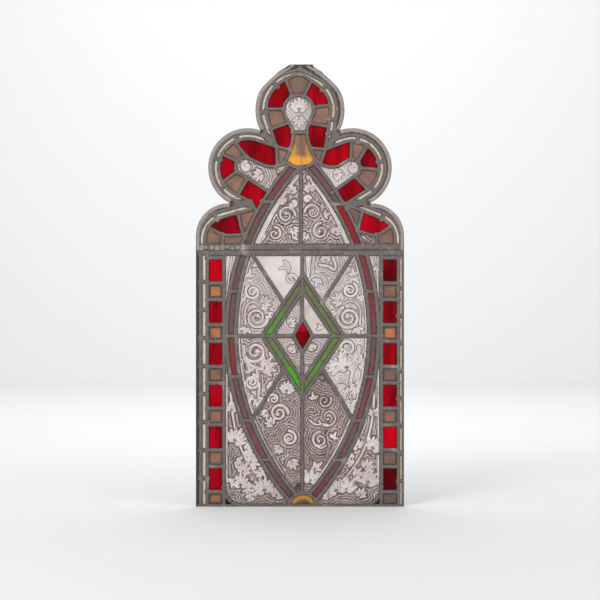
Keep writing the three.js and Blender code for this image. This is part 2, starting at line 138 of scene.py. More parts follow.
# %% The fillet line and the outline of the head
def lobe_run(start, centre, radius, end):
    def bearing(p):
        return math.degrees(math.atan2(p[1] - centre[1], p[0] - centre[0]))

    def swing(p):
        return math.degrees(math.acos(radius / math.hypot(p[0] - centre[0], p[1] - centre[1])))

    first = bearing(start) + swing(start)
    last = bearing(end) - swing(end)
    while last < first:
        last += 360
    return arc(centre, radius, first, last)


def fillet_line():
    left_side = (-SIDE_LOBE[0][0], SIDE_LOBE[0][1])
    foot = (216.0, SEAM)
    left_turn = (CUSPS["ll"][0], CUSPS["ll"][1] - 8)
    return (
        [foot]
        + lobe_run(foot, (160.0, 588.0), 56.0, CUSPS["rl"])
        + [CUSPS["rl"]]
        + lobe_run(CUSPS["rl"], SIDE_LOBE[0], 65.5, CUSPS["ru"])
        + [CUSPS["ru"]]
        + lobe_run(CUSPS["ru"], TOP_LOBE[0], 74.0, PEAK)
        + [PEAK]
        + lobe_run(PEAK, TOP_LOBE[0], 81.0, CUSPS["lu"])
        + [CUSPS["lu"]]
        + lobe_run(CUSPS["lu"], left_side, 70.5, CUSPS["ll"])
        + [CUSPS["ll"], left_turn]
        + lobe_run(left_turn, (-160.0, 588.0), 56.0, (-216.0, SEAM))
        + [(-216.0, SEAM)]
    )


def outline_arcs(inset=0.0):
    """The arcs of the head's right side, each moved inwards. The crown ends at the flat of the apex."""
    (shoulder, side, top) = (SHOULDER, SIDE_LOBE, TOP_LOBE)
    top_run = arc(top[0], top[1] - inset, -27, 18)
    top_run += arc(TOP_HAUNCH[0], TOP_HAUNCH[1] - inset, 18, 42)[1:]
    top_run += arc(TOP_CROWN[0], TOP_CROWN[1] - inset, 42, 59.1, 2.5)[1:]
    return [
        [(HALF_WIDTH - inset, HEAD_FOOT)] + arc(shoulder[0], shoulder[1] - inset, 0, 92),
        arc(side[0], side[1] - inset, -62.8, 108.6),
        top_run + [(22.0, APEX - inset)],
    ]


def head_outline():
    half = [p for run in outline_arcs() for p in run]
    return half + mirrored(half)


line = fillet_line()
print("fillet line", len(line), "points; outline", len(head_outline()))


# %% [markdown]
# Next the centre lines of the cames, panel by panel. Each is written as it would be called out on
# the bench: the pointed oval as two arcs, the spokes of a lobe as short straight runs, the
# rhombus as rings of four. The ends are then trimmed or run on to the line that they meet, as a
# glazier cuts each came to butt against the next.

# %% The oval and the trimming of ends
def oval(side, radius, low, high, step=1.6):
    def angle(z):
        return math.degrees(math.asin((z - 381.7) / radius))

    axis = 3.0 if side < 0 else 8.0
    run = arc((-399.3, 381.7), radius, angle(low), angle(high), step)
    return [(axis + side * x, z) for x, z in run]


OVAL_INNER = 543.4
OVAL_OUTER = 564.3


def band_joint(side, height):
    return [oval(side, OVAL_INNER, height, height)[0], oval(side, OVAL_OUTER, height, height)[0]]


def crossing(inner, end, a, b):
    u = (end[0] - inner[0], end[1] - inner[1])
    v = (b[0] - a[0], b[1] - a[1])
    turn = u[0] * v[1] - u[1] * v[0]
    if abs(turn) < 1e-6:
        return None
    w = (a[0] - inner[0], a[1] - inner[1])
    along = (w[0] * v[1] - w[1] * v[0]) / turn
    share = (w[0] * u[1] - w[1] * u[0]) / turn
    return (inner[0] + u[0] * along, inner[1] + u[1] * along) if 0 <= share <= 1 else None


def butted(cames, others=(), reach=9.0):
    paths = [path for path, _ in cames] + list(others)

    def snapped(inner, end, own):
        hits = [
            crossing(inner, end, a, b)
            for path in paths
            if path is not own
            for a, b in zip(path, path[1:])
        ]
        near = sorted((math.dist(h, end), h) for h in hits if h)
        return near[0][1] if near and near[0][0] < reach else end

    return [
        ([snapped(p[1], p[0], p)] + p[1:-1] + [snapped(p[-2], p[-1], p)], width) for p, width in cames
    ]


print("oval half:", len(oval(-1, OVAL_INNER, 0, 560)), "points")

# %% [markdown]
# The head is set out lobe by lobe. Short cames run from the border line to the middle of each
# lobe, and two wavy ones sweep from the bell to the side lobes. They could be swept one at a time
# by hand, but a list of centre lines keeps the whole setting-out in one place, where a line is
# easy to move.

# %% The cames of the head
border = offset(line, FILLET / 2 + CAME / 2, True)


def corner(name):
    return min(border, key=lambda p: math.dist(p, CUSPS[name]))


def head_cames():
    left_border = (-115.0, 745.0)
    wave_left = [(-29, 757), (-49, 748.5), (-69, 747), (-88, 754.5)]
    wave_right = [(31, 762), (48, 752), (66, 746), (86, 749.5)]
    runs = [
        [(2, SEAM + 2), (2, 745)],
        smooth([(-33, 757), (-21.5, 784), (-15, 811), (-17, 831)])
        + arc((-3, 872), 33, -142, -398)
        + smooth([(15, 829), (16, 811), (25, 784), (35, 761)]),
        arc((1, 790), 45, -139, -38),
        [(-32, 941), (-17, 902)],
        [(27, 940), (9, 904)],
        [(-76, 874.5), (-34, 874.5)],
        [(70, 884), (28, 879)],
        [(-68, 829), (-22, 845.5)],
        [(66, 835), (18, 844)],
        [corner("lu"), (-19, 784)],
        [corner("ru"), (20, 789)],
        smooth(wave_left) + arc((-121.5, 748), 20.5, 52, 215) + [(-66, 690)],
        [polar(left_border, 63.5, 116), (-117.5, 768)],
        [polar(left_border, 63.5, 152), (-139, 760)],
        [polar(left_border, 63.5, -150), (-139, 737)],
        [polar(left_border, 63.5, -110), (-115, 722)],
        [corner("lu"), (-50, 749)],
        smooth(wave_right) + arc((113, 744), 20, 112, -75) + [(70, 690)],
        [(114, 804), (112, 764)],
        [(148, 793), (127, 757)],
        [(172, 741), (132, 745)],
        [(152, 694), (125, 722)],
        [corner("ru"), (45, 753)],
        smooth([(-118, 599), (-165.5, 595.5), (-186, 606), (-208, 618)], 1),
        [(-170.5, 595.5), (-170.5, SEAM + 2)],
        smooth([(-136, 643), (-129, 610), (-121, 592)], 1),
        smooth([(202, 618), (169, 594.7), (149, 599.5), (124, 608)], 1),
        [(168, 594.7), (168, SEAM + 2)],
        [(137, 646), (127, 607)],
        [corner("ll"), (-96, 649)],
        [corner("rl"), (104, 655)],
    ]
    cames = [(run, CAME) for run in runs]
    for side in (-1, 1):
        cames.append((oval(side, OVAL_INNER, SEAM + 2, 745), CAME))
        cames.append((oval(side, OVAL_OUTER, SEAM + 2, 753), CAME))
    cames.append(([(-15, 823), (15, 823)], WIDE_CAME))
    cames.append((band_joint(-1, 670), WIDE_CAME))
    cames.append((band_joint(1, 665), WIDE_CAME))
    return butted(cames, [border + border[:1]])


def head_fillet_joints():
    def across(centre, radius, degrees):
        return [polar(centre, radius - 8, degrees), polar(centre, radius + 8, degrees)]

    side = SIDE_LOBE[0]
    left = (-side[0], side[1])
    runs = [across(TOP_LOBE[0], 81.0, d) for d in (134, 183)]
    runs += [across(TOP_LOBE[0], 74.0, d) for d in (43, -16)]
    runs += [across(left, 70.5, d) for d in (110, 163, 218)]
    runs += [across(side, 65.5, d) for d in (79, 12, -46)]
    runs += [across((-160.0, 588.0), 56.0, 118), across((160.0, 588.0), 56.0, 66)]
    runs += [[(76, 823), (57, 820)], [(0, PEAK[1] - 12), (0, PEAK[1] + 8)]]
    return [(run, WIDE_CAME) for run in runs]


print("cames of the head:", len(head_cames()), "and", len(head_fillet_joints()), "fillet joints")

# %% [markdown]
# The lower panel is a rectangle with a border down each side, a pointed oval between the borders,
# and a diamond at the middle of the oval. Its left and right borders are not quite the same
# width, as in much handmade work, so each side has its own pair of lines.

# %% The cames of the lower panel
BORDER_LEADS = {-1: (-203.9, -167.6), 1: (216.5, 179.3)}
FILLET_JOINTS = {-1: (61.4, 61.8), 1: (55.0, 60.7)}


def lower_cames():
    x, z = 6.0, 375.5

    def ring(w, h):
        corners = [(x, z + h), (x - w, z), (x, z - h), (x + w, z)]
        return [[a, b] for a, b in zip(corners, corners[1:] + corners[:1])]

    shrink = 1 - (12.3 + CAME) * math.hypot(90, 135) / (90 * 135)
    runs = [
        [(5, LOWER_TOP - 2), (5, z + 37)],
        [(5, z - 37), (5, 30.3)],
        [(-167.6, z - 1), (x - 21, z - 1)],
        [(x + 21, z - 1), (179.3, z - 1)],
        [(-107, 557.6), (-36, 448)],
        [(119, 557.7), (50, 449.5)],
        [(-34.5, 303), (-106, 189)],
        [(48.5, 305), (116, 191)],
        arc((6.8, -3.3), 32.3, 3, 177),
        arc((-130, 40), 37, 176, 270),
        arc((142, 40), 37, 4, -90),
    ]
    runs += ring(90, 135) + ring(90 * shrink, 135 * shrink) + ring(21, 37)
    cames = [(run, CAME) for run in runs]
    for side in (-1, 1):
        cames.append((oval(side, OVAL_INNER, 26, LOWER_TOP - 2), BAND_CAME))
        cames.append((oval(side, OVAL_OUTER, 12, LOWER_TOP - 2), BAND_CAME))
        cames += [(band_joint(side, height), WIDE_CAME) for height in (102, 188, 285, 473)]
        outer, inner = BORDER_LEADS[side]
        cames.append(([(outer, 2), (outer, LOWER_TOP - 2)], CAME))
        cames.append(([(inner, 2), (inner, LOWER_TOP - 2)], BORDER_CAME))
        for i in range(6):
            for first in (31.6, 87.6):
                height = first + 91.9 * i
                cames.append(([(outer, height), (inner, height)], WIDE_CAME))
    return butted(cames)


def lower_fillet_joints():
    runs = [
        [(side * (HALF_WIDTH - 2), first + module * i), (BORDER_LEADS[side][0], first + module * i)]
        for side, (first, module) in FILLET_JOINTS.items()
        for i in range(8)
    ]
    return [(run, WIDE_CAME) for run in runs]


print("cames:", len(head_cames()) + len(head_fillet_joints()), "in the head,", len(lower_cames()), "below")


# %% [markdown]
# A came is swept: its section is drawn once as a closed curve and carried along the centre line
# as a curve's bevel. Extruding a section step by step would give the same body, but a curve keeps
# it square to the line all the way round a lobe. The curve is drawn flat and then stood up, and
# the conversion to a mesh closes both ends.

# %% Tools for meshes
def only(obj):
    bpy.ops.object.select_all(action="DESELECT")
    obj.select_set(True)
    bpy.context.view_layer.objects.active = obj


def apply(obj, kind, **settings):
    only(obj)
    modifier = obj.modifiers.new(kind.title(), kind)
    for key, value in settings.items():
        setattr(modifier, key, value)
    bpy.ops.object.modifier_apply(modifier=modifier.name)


def joined(objects, name):
    bpy.ops.object.select_all(action="DESELECT")
    for o in objects:
        o.select_set(True)
    bpy.context.view_layer.objects.active = objects[0]
    if len(objects) > 1:
        bpy.ops.object.join()
    objects[0].name = name
    objects[0].data.name = name
    return objects[0]


# %% [markdown]
# A came is drawn out through a die in the works, always with the same section. Here the section
# is a small closed curve that follows the centre line. It has a dome on each face, a lip over the
# glass, and a narrow heart between the two channels.

# %% Sweep a section along a line
def curve(name, paths, closed):
    data = bpy.data.curves.new(name, "CURVE")
    data.dimensions = "2D"
    data.fill_mode = "NONE"
    for path in paths:
        spline = data.splines.new("POLY")
        spline.points.add(len(path) - 1)
        for point, (x, z) in zip(spline.points, path):
            point.co = (x * MM, z * MM, 0, 1)
        spline.use_cyclic_u = closed
    obj = bpy.data.objects.new(name, data)
    scene.collection.objects.link(obj)
    return obj


def stood_up(obj):
    """The flat curve as a closed mesh that stands in the plane of the light, front towards -Y."""
    obj.rotation_euler[0] = math.pi / 2
    only(obj)
    bpy.ops.object.convert(target="MESH")
    bpy.ops.object.transform_apply(location=True, rotation=True, scale=True)
    bpy.ops.object.mode_set(mode="EDIT")
    bpy.ops.mesh.select_all(action="SELECT")
    bpy.ops.mesh.remove_doubles(threshold=0.00001)
    bpy.ops.mesh.normals_make_consistent(inside=False)
    bpy.ops.object.mode_set(mode="OBJECT")
    return bpy.context.active_object


def sweep(name, paths, section, closed=False):
    profile = curve("section", [section], True)
    obj = curve(name, paths, closed)
    obj.data.bevel_mode = "OBJECT"
    obj.data.bevel_object = profile
    obj.data.use_fill_caps = not closed
    mesh = stood_up(obj)
    bpy.data.objects.remove(profile)
    return mesh


def h_section(width, crown=3.75, heart=2.0):
    """Half of an H, mirrored twice: a domed face, a lip over the glass, and the heart."""
    w = width / 2
    face = [(w, 1.75), (w, 2.5), (w * 0.86, 3.05), (w * 0.55, crown - 0.18), (0, crown)]
    right = [(heart / 2, 1.75)] + face
    top = right + [(-x, y) for x, y in right[:-1]][::-1]
    return top + [(-x, -y) for x, y in top]


def block(width, depth):
    w, d = width / 2, depth / 2
    return [(w, -d), (w, d), (-w, d), (-w, -d)]


test = sweep("trial_came", [[(0, 0), (100, 0)]], h_section(CAME))
corners = np.array([v.co for v in test.data.vertices])
print("trial came:", corners.min(0).round(4), corners.max(0).round(4), len(test.data.polygons))
bpy.data.objects.remove(test)

# %% [markdown]
# The outer edge of each panel is a broad band of lead: a flat bed with two cames laid side by
# side on it, which leaves the dark line between them. The bed is a flat curve that Blender fills,
# with the openings as a second ring inside it, so its edges follow the arcs exactly. A bed a
# little lower than the crowns keeps the cames proud.

# %% The beds under the outer cames
def bed(name, rings, depth):
    obj = curve(name, rings, True)
    obj.data.fill_mode = "BOTH"
    obj.data.extrude = depth * MM
    return stood_up(obj)


def rectangle(left, right, low, high):
    return [(left, low), (right, low), (right, high), (left, high)]


fillet_outer = offset(line, -FILLET / 2, True)
fillet_outer = [(x, max(z, SEAM + 14.3)) for x, z in fillet_outer]
head_bed = bed("head_bed", [head_outline(), fillet_outer], 3.0)
lower_bed = bed(
    "lower_bed",
    [rectangle(-229, 229, 0, LOWER_TOP), rectangle(-214.2, 224.6, 4.4, LOWER_TOP - 12)],
    3.0,
)
print("beds:", len(head_bed.data.polygons), len(lower_bed.data.polygons), "faces")

# %% [markdown]
# The cames are swept in families, one section to each width. Two sections stand side by side
# along the outline. Each came of a lobe runs a little past its notch, and a broad patch of solder
# covers the meeting of the borders there.

# %% Sweep the cames
def families(cames):
    widths = sorted({width for _, width in cames})
    return {w: [path for path, width in cames if width == w] for w in widths}


def swept_families(name, cames, crown):
    made = []
    for i, (width, paths) in enumerate(families(cames).items()):
        made.append(sweep(f"{name}_{i}", paths, h_section(width, crown - 0.06 * i)))
    return made


def edge_runs(inset):
    return [r for run in outline_arcs(inset) for r in (run, mirrored(run))]


seam_run = [(-HALF_WIDTH + 1, SEAM + 7.3), (HALF_WIDTH - 1, SEAM + 7.3)]


def between(a, b, share):
    """The point a share of the way from a to b."""
    return tuple(np.array(a) * (1 - share) + np.array(b) * share)


patches = [[between(CUSPS[k], NOTCHES[k], -0.12), between(CUSPS[k], NOTCHES[k], 0.8)] for k in CUSPS]
head_parts = swept_families("head_came", head_cames() + head_fillet_joints(), 3.78)
head_edge = sweep("head_edge", edge_runs(4.6), h_section(9.2, 3.9))
# A dark cap on the flat of the apex: its dark lead paints the shadow line there.
apex_shadow_cap = sweep("apex_shadow_cap", [[(-13, 970.8), (29, 970.8)]], block(2.8, 7.9))
head_parts += [head_edge, apex_shadow_cap]
inner_edge = [(x, min(z, 963.0)) for x, z in offset(line, -FILLET / 2 - 4.0, True)]
head_parts.append(sweep("head_inner_edge", [inner_edge], h_section(8.0, 3.7), True))
head_parts.append(sweep("head_border", [border], h_section(CAME, 3.7), True))
head_parts.append(sweep("head_seam", [seam_run], h_section(14.3, 3.7)))
head_parts += [sweep("cusp_patch", patches, h_section(17.0, 3.65))]

lower_parts = swept_families("lower_came", lower_cames() + lower_fillet_joints(), 3.78)
lower_parts.append(sweep("lower_left_inner_edge", [[(-218.8, 2), (-218.8, 560)]], h_section(9.0, 3.75)))
lower_parts.append(sweep("lower_right_edge", [[(226.6, 1), (226.6, 562)]], h_section(4.8, 3.9)))
lower_parts.append(sweep("lower_sill", [[(-228, 2.4), (228, 2.4)]], h_section(4.8, 3.8)))
lower_seam_run = [(-228, LOWER_TOP - 6), (228, LOWER_TOP - 6)]
lower_parts.append(sweep("lower_seam", [lower_seam_run], h_section(12.0, 3.8)))
# A dark strip down the left edge: painted shadow, dark lead where the edge lies in shade.
left_shadow_strip = sweep("left_shadow_edge_strip", [[(-226.1, 1), (-226.1, 562)]], h_section(5.8, 3.9))
print("came bodies:", len(head_parts) + len(lower_parts))

# %% [markdown]
# Every joint carries solder: a low, slightly uneven button, wider than the came. One is a sphere
# pressed flat and roughened with noise in edit mode, then copied to both faces of each joint with
# its own turn and size, so that no two look the same.

# %% Solder buttons at the joints
def button(radius, seed):
    bpy.ops.mesh.primitive_uv_sphere_add(segments=12, ring_count=7, radius=1.0)
    obj = bpy.context.active_object
    only(obj)
    bpy.ops.object.mode_set(mode="EDIT")
    bpy.ops.mesh.select_all(action="SELECT")
    bpy.ops.transform.vertex_random(offset=0.09, uniform=0.2, normal=0.5, seed=seed)
    bpy.ops.object.mode_set(mode="OBJECT")
    return obj


def joints(cames, fillet_joints):
    ends = [p for path, _ in cames for p in (path[0], path[-1])]
    ends += [path[1] if abs(path[0][0]) > 226 else path[0] for path, _ in fillet_joints]
    kept = []
    for e in ends:
        if all(math.dist(e, k) > 5 for k in kept):
            kept.append(e)
    return kept


moulds = [button(1.0, seed) for seed in (3, 8, 21)]


def solder(name, places, low, high, limit):
    made = []
    for x, z in places:
        for face in (-1, 1):
            mould = rng.choice(moulds)
            copy = mould.copy()
            copy.data = mould.data.copy()
            scene.collection.objects.link(copy)
            size = rng.uniform(low, high)
            copy.scale = (size * MM, 0.85 * MM, size * rng.uniform(0.8, 1.15) * MM)
            copy.rotation_euler = (0, rng.uniform(0, 6.28), 0)
            copy.location = (x * MM, face * 3.1 * MM, min(max(z, size + 0.5), limit - size - 0.5) * MM)
            made.append(copy)
    piece = joined(made, name)
    bpy.ops.object.transform_apply(location=True, rotation=True, scale=True)
    return piece


head_joints = [j for j in joints(head_cames(), head_fillet_joints()) if j[1] > SEAM + 5]
lower_joints = [j for j in joints(lower_cames(), lower_fillet_joints()) if 3 < j[1] < LOWER_TOP - 3]
head_solder = solder("head_solder", head_joints, 4.6, 6.2, 980)
lower_solder = solder("lower_solder", lower_joints, 4.8, 6.4, LOWER_TOP)
lumps = [(-216 + 11.5 * i + rng.uniform(-3, 3), SEAM + rng.uniform(4, 9)) for i in range(9)]
head_putty = solder("head_putty", lumps, 3.5, 7.5, 980)
head_parts.append(head_putty)
for mould in moulds:
    bpy.data.objects.remove(mould)
print("joints:", len(head_joints), "and", len(lower_joints))

# %% [markdown]
# The glass is made the other way round. One sheet of glass fills each panel, as a fine grid 3 mm
# thick, and the hearts of the cames are cut out of it. What is left falls into panes whose edges
# sit in the lead just as far as real panes do, and the grid gives every pane the small faces that
# its painting and its slight waviness need.

# %% A sheet of glass
GLASS = 3.0
CELL = 1.7


def sheet(name, left, right, low, high):
    width, height = right - left, high - low
    bpy.ops.mesh.primitive_grid_add(
        x_subdivisions=round(width / CELL), y_subdivisions=round(height / CELL), size=1.0
    )
    obj = bpy.context.active_object
    obj.name = name
    obj.scale = (width * MM, height * MM, 1)
    obj.rotation_euler[0] = math.pi / 2
    obj.location = ((left + right) / 2 * MM, GLASS / 2 * MM, (low + high) / 2 * MM)
    only(obj)
    bpy.ops.object.transform_apply(location=True, rotation=True, scale=True)
    bpy.ops.object.mode_set(mode="EDIT")
    bpy.ops.mesh.select_all(action="SELECT")
    bpy.ops.mesh.extrude_region_move(TRANSFORM_OT_translate={"value": (0, -GLASS * MM, 0)})
    bpy.ops.mesh.select_all(action="SELECT")
    bpy.ops.mesh.normals_make_consistent(inside=False)
    bpy.ops.object.mode_set(mode="OBJECT")
    return obj


print("sheets are", GLASS, "mm thick, in cells of", CELL, "mm")

# %% [markdown]
# The hearts of the cames do the cutting. Each heart becomes a thin wall along its centre line,
# run on a little at both ends so that neighbouring panes part cleanly, and what lies between the
# walls is a pane.

# %% Cut the panes out of the sheets
def cutter(path, width, closed=False):
    return sweep("heart", [path], block(width, 12.0), closed)


def long_ends(path, extra=1.0):
    p = [np.array(q, float) for q in path]
    first = p[0] - (p[1] - p[0]) / np.linalg.norm(p[1] - p[0]) * extra
    last = p[-1] + (p[-1] - p[-2]) / np.linalg.norm(p[-1] - p[-2]) * extra
    return [tuple(first)] + path[1:-1] + [tuple(last)]


def cut_panes(glass, keep, hearts):
    group = bpy.data.collections.new("hearts")
    scene.collection.children.link(group)
    for heart in hearts:
        scene.collection.objects.unlink(heart)
        group.objects.link(heart)
    apply(glass, "BOOLEAN", operation="INTERSECT", object=keep, solver="MANIFOLD")
    apply(glass, "BOOLEAN", operation="DIFFERENCE", operand_type="COLLECTION", collection=group,
          solver="MANIFOLD")
    for heart in hearts + [keep]:
        bpy.data.objects.remove(heart)
    bpy.data.collections.remove(group)
    only(glass)
    bpy.ops.object.mode_set(mode="EDIT")
    bpy.ops.mesh.select_all(action="SELECT")
    bpy.ops.mesh.separate(type="LOOSE")
    bpy.ops.object.mode_set(mode="OBJECT")
    return [o for o in bpy.context.selected_objects if o.type == "MESH"]


HEART_CUT = 2.6
head_sheet = sheet("head_sheet", -230, 230, SEAM + 11, 975)
outer_edge = [(x, max(z, SEAM + 11.8)) for x, z in offset(line, -FILLET / 2 - TUCK, True)]
head_keep = bed("head_keep", [outer_edge], 6.0)
hearts = [cutter(long_ends(path), HEART_CUT) for path, _ in head_cames() + head_fillet_joints()]
hearts.append(cutter(border, HEART_CUT, True))
head_panes = cut_panes(head_sheet, head_keep, hearts)

lower_sheet = sheet("lower_sheet", -230, 230, 0, LOWER_TOP)
lower_keep = bed("lower_keep", [rectangle(-216.7, 226.4, 2.6, LOWER_TOP - 9.5)], 6.0)
hearts = [cutter(long_ends(path), HEART_CUT) for path, _ in lower_cames() + lower_fillet_joints()]
lower_panes = cut_panes(lower_sheet, lower_keep, hearts)
print("panes:", len(head_panes), "in the head,", len(lower_panes), "below")

# %% [markdown]
# The panes are told apart by their place. A pane whose box agrees with a pane of the packed model
# takes that name and stands for it. The small glass of the borders is sorted by where it lies,
# and each kind becomes one piece, with a shade of its own for every pane in it.

# %% Name the panes
def box_of(obj):
    corners = np.array([v.co for v in obj.data.vertices]) / MM
    return corners.min(0), corners.max(0)


panes = [p for p in head_panes + lower_panes if len(p.data.polygons) > 60]
for crumb in [p for p in head_panes + lower_panes if len(p.data.polygons) <= 60]:
    bpy.data.objects.remove(crumb)
boxes = {p: box_of(p) for p in panes}
named = {}
for node in [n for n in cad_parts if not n.endswith("leading")]:
    low, high = (np.array(c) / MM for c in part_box(node))
    free = [p for p in panes if p not in named.values()]
    best = min(free, key=lambda p: np.abs(boxes[p][0] - low).sum() + np.abs(boxes[p][1] - high).sum())
    named[node] = best
    best.name = best.data.name = "pane_" + node


def distance_to(path, points, w0=0.0, w1=0.0):
    """How far each point lies outside a tapering stroke along the path."""
    a, b = path[:-1], path[1:]
    widths = np.linspace(w0, w1, len(path))
    run = b - a
    t = ((points[:, None] - a[None]) * run[None]).sum(2) / ((run**2).sum(1) + 1e-9)
    t = np.clip(t, 0, 1)
    gap = np.linalg.norm(points[:, None] - a[None] - t[..., None] * run[None], axis=2)
    return (gap - (widths[:-1] + (widths[1:] - widths[:-1]) * t)).min(1)


fillets = np.array(line + line[:1])

def kind_of(pane):
    low, high = boxes[pane]
    x, z = (low[0] + high[0]) / 2, (low[2] + high[2]) / 2
    side = "left" if x < 0 else "right"
    if z < SEAM:
        if x < -204 or x > 217:
            return "cream_fillets_lower_" + side
        if x < -167 or x > 180:
            return ("border_rubies_" if high[2] - low[2] > 40 else "border_squares_") + side
        return "band_strips_" + side
    middle = np.array([v.co for v in pane.data.vertices])[:, [0, 2]] / MM
    gap = distance_to(fillets, middle[::5]).mean()
    return "cream_fillets_head" if gap < 4.6 else "shoulder_small_glass"


groups = {}
for pane in panes:
    if pane not in named.values():
        groups.setdefault(kind_of(pane), []).append(pane)
small = groups["shoulder_small_glass"]
broken = min(small, key=lambda p: math.dist((boxes[p][0][0], boxes[p][1][0]), (128, 167)))
small.remove(broken)
broken.name = broken.data.name = "broken_shoulder_pane"
print({name: len(found) for name, found in groups.items()}, "and", len(named), "named panes")

# %% [markdown]
# Each pane then gets numbers on its vertices, for its material to read: how far a point is from
# the pane's edge, where dirt and old putty gather, and a shade that differs from pane to pane.

# %% Measure each pane and give it a shade


def give(obj, name, values):
    attribute = obj.data.attributes.new(name, "FLOAT", "POINT")
    attribute.data.foreach_set("value", np.asarray(values, np.float32))


def plan(obj):
    flat = np.empty(len(obj.data.vertices) * 3)
    obj.data.vertices.foreach_get("co", flat)
    return flat.reshape(-1, 3)[:, [0, 2]] / MM


def edge_distance(obj):
    rim = {i for f in obj.data.polygons if abs(f.normal.y) < 0.5 for i in f.vertices}
    tree = kdtree.KDTree(len(rim))
    points = plan(obj)
    for i in rim:
        tree.insert((points[i][0], points[i][1], 0), i)
    tree.balance()
    return [tree.find((x, z, 0))[2] for x, z in points]


for pane in panes:
    give(pane, "edge", edge_distance(pane))

SHADES = {
    "border_rubies_left": [0.5, 0.45, 0.55, 0.5, 0.45, 1.0],
    "border_rubies_right": [0.15, 0.95, 0.55, 0.5, 0.4, 0.2],
    "band_strips_left": [0.1, 0.35, 0.1, 0.85, 0.25, 0.1, 0.1, 0.5],
    "band_strips_right": [0.15, 0.1, 0.5, 0.15, 0.65, 0.5, 1.1, 0.15],
    "border_squares_left": [0.5, 0.35, 0.3, 0.3, 0.75, 0.9, 0.3],
    "border_squares_right": [0.1, 0.15, 0.2, 0.25, 0.8, 0.35, 0.3],
}
for name, found in groups.items():
    found.sort(key=lambda p: boxes[p][0][2])
    listed = SHADES.get(name, [])
    for i, pane in enumerate(found):
        shade = listed[i] if i < len(listed) else rng.uniform(0.25, 0.75)
        give(pane, "shade", np.full(len(pane.data.vertices), shade))


def shade_over(node, points):
    """Stain and green glass change along a pane: the other colours get one shade each."""
    x, z = points[:, 0], points[:, 1]
    if node == "yellow_bell":
        ray = np.degrees(np.arctan2(x - 1, 820 - z))
        lines = np.where(np.abs((ray + 4) % 11 - 5.5) < 0.9, -0.5, 0.0)
        foot = np.clip((778 - z) / 12, 0, 1)
        sides = 0.6 * np.clip((np.abs(x - 1) - 5) / 8, 0, 1) * np.clip((806 - z) / 16, 0, 1)
        return np.maximum(np.maximum(foot, sides), 0.16) + lines * foot
    if node == "yellow_half_round":
        return np.clip((np.hypot(x - 6.8, z + 3.3) - 14) / 8, 0.15, 1)
    if node == "green_strip_lower_left":
        return np.where(z < 307, 1.1, 0.15)
    if node == "green_strip_upper_left":
        return np.clip((470 - z) / 90, 0.1, 1) * 0.8
    if node.startswith("green"):
        return np.full(len(x), 0.08 if "upper" in node else 0.35)
    if node.startswith("head_band"):
        redness = {"left_upper": 0.45, "left_lower": 0.1, "right_upper": 0.1, "right_lower": 1.1}
        return np.full(len(x), redness[node[10:]])
    if node == "red_diamond":
        return np.where(z > 385, 0.9, 0.1)
    return np.full(len(x), rng.uniform(0.3, 0.7))


for node, pane in named.items():
    give(pane, "shade", shade_over(node, plan(pane)))
print("panes measured:", len(named) + sum(len(found) for found in groups.values()))

# %% [markdown]
# The clear panes carry grisaille: brown glass paint, laid as a thin wash and scratched out again,
# so that scrolls and leaves stay light on a brown ground. A scroll is drawn here as tapering
# strokes, and each vertex keeps its distance to the nearest stroke. A distance stays smooth
# between vertices, so the material can draw a crisp edge from it, a dark outline outside it and a
# vein inside it.

# %% Strokes for scrolls and leaves
def spiral(x, z, radius, turns=1.6, start=90, way=1, thick=2.6):
    t = np.linspace(0, 1, int(30 * turns))
    angle = np.radians(start + way * 360 * turns * t)
    r = radius * (1 - 0.8 * t)
    points = np.stack([x + r * np.cos(angle), z + r * np.sin(angle)], 1)
    return [(points, thick, thick * 0.5), (points[-2:] * 1.0, thick * 1.5, thick * 1.5)]


def leaf(x, z, heading, length, lobes=3):
    """A lobed leaf: teardrops fanned about one base."""
    made = []
    for i in range(lobes):
        share = (i - (lobes - 1) / 2) / max(1, (lobes - 1) / 2)
        turn = math.radians(heading + 62 * share)
        reach = length * (1 - 0.28 * abs(share))
        tip = (x + reach * math.cos(turn), z + reach * math.sin(turn))
        near = (x + 0.35 * reach * math.cos(turn), z + 0.35 * reach * math.sin(turn))
        made.append((np.array([near, tip]), length * 0.2, length * 0.05))
    return made


def stem(points, thick=1.8, thin=0.9):
    return [(np.array(smooth(points)), thick, thin)]


def ornament(points, strokes):
    """Distance to the nearest stroke, and how much nearer it is than the second."""
    first = np.full(len(points), 30.0)
    second = np.full(len(points), 30.0)
    for path, w0, w1 in strokes:
        d = distance_to(path, points, w0, w1)
        second = np.minimum(second, np.maximum(first, d))
        first = np.minimum(first, d)
    return first, second - first


print("a scroll of two turns:", len(spiral(0, 0, 20, 2.0)[0][0]), "points")

# %% [markdown]
# The glass painter covers a pane with a brown wash and scratches the light parts out of it. So
# each pane needs three things: how dark its wash is, how much fine line work lies over it, and
# the strokes that stay light. The strokes are given in millimetres, with the few shapes made
# above. The side panes of the oval come first: scrolls with leaves curling off them.

# %% Paint the side panes of the oval
def margin(side, inset, low, high, w0=1.3, w1=1.3):
    """A clear line left along the oval's edge."""
    return [(np.array(oval(side, OVAL_INNER - inset, low, high)), w0, w1)]


def upright(x, low, high, width=1.4):
    return [(np.array([(x, low), (x, high)], float), width, width)]


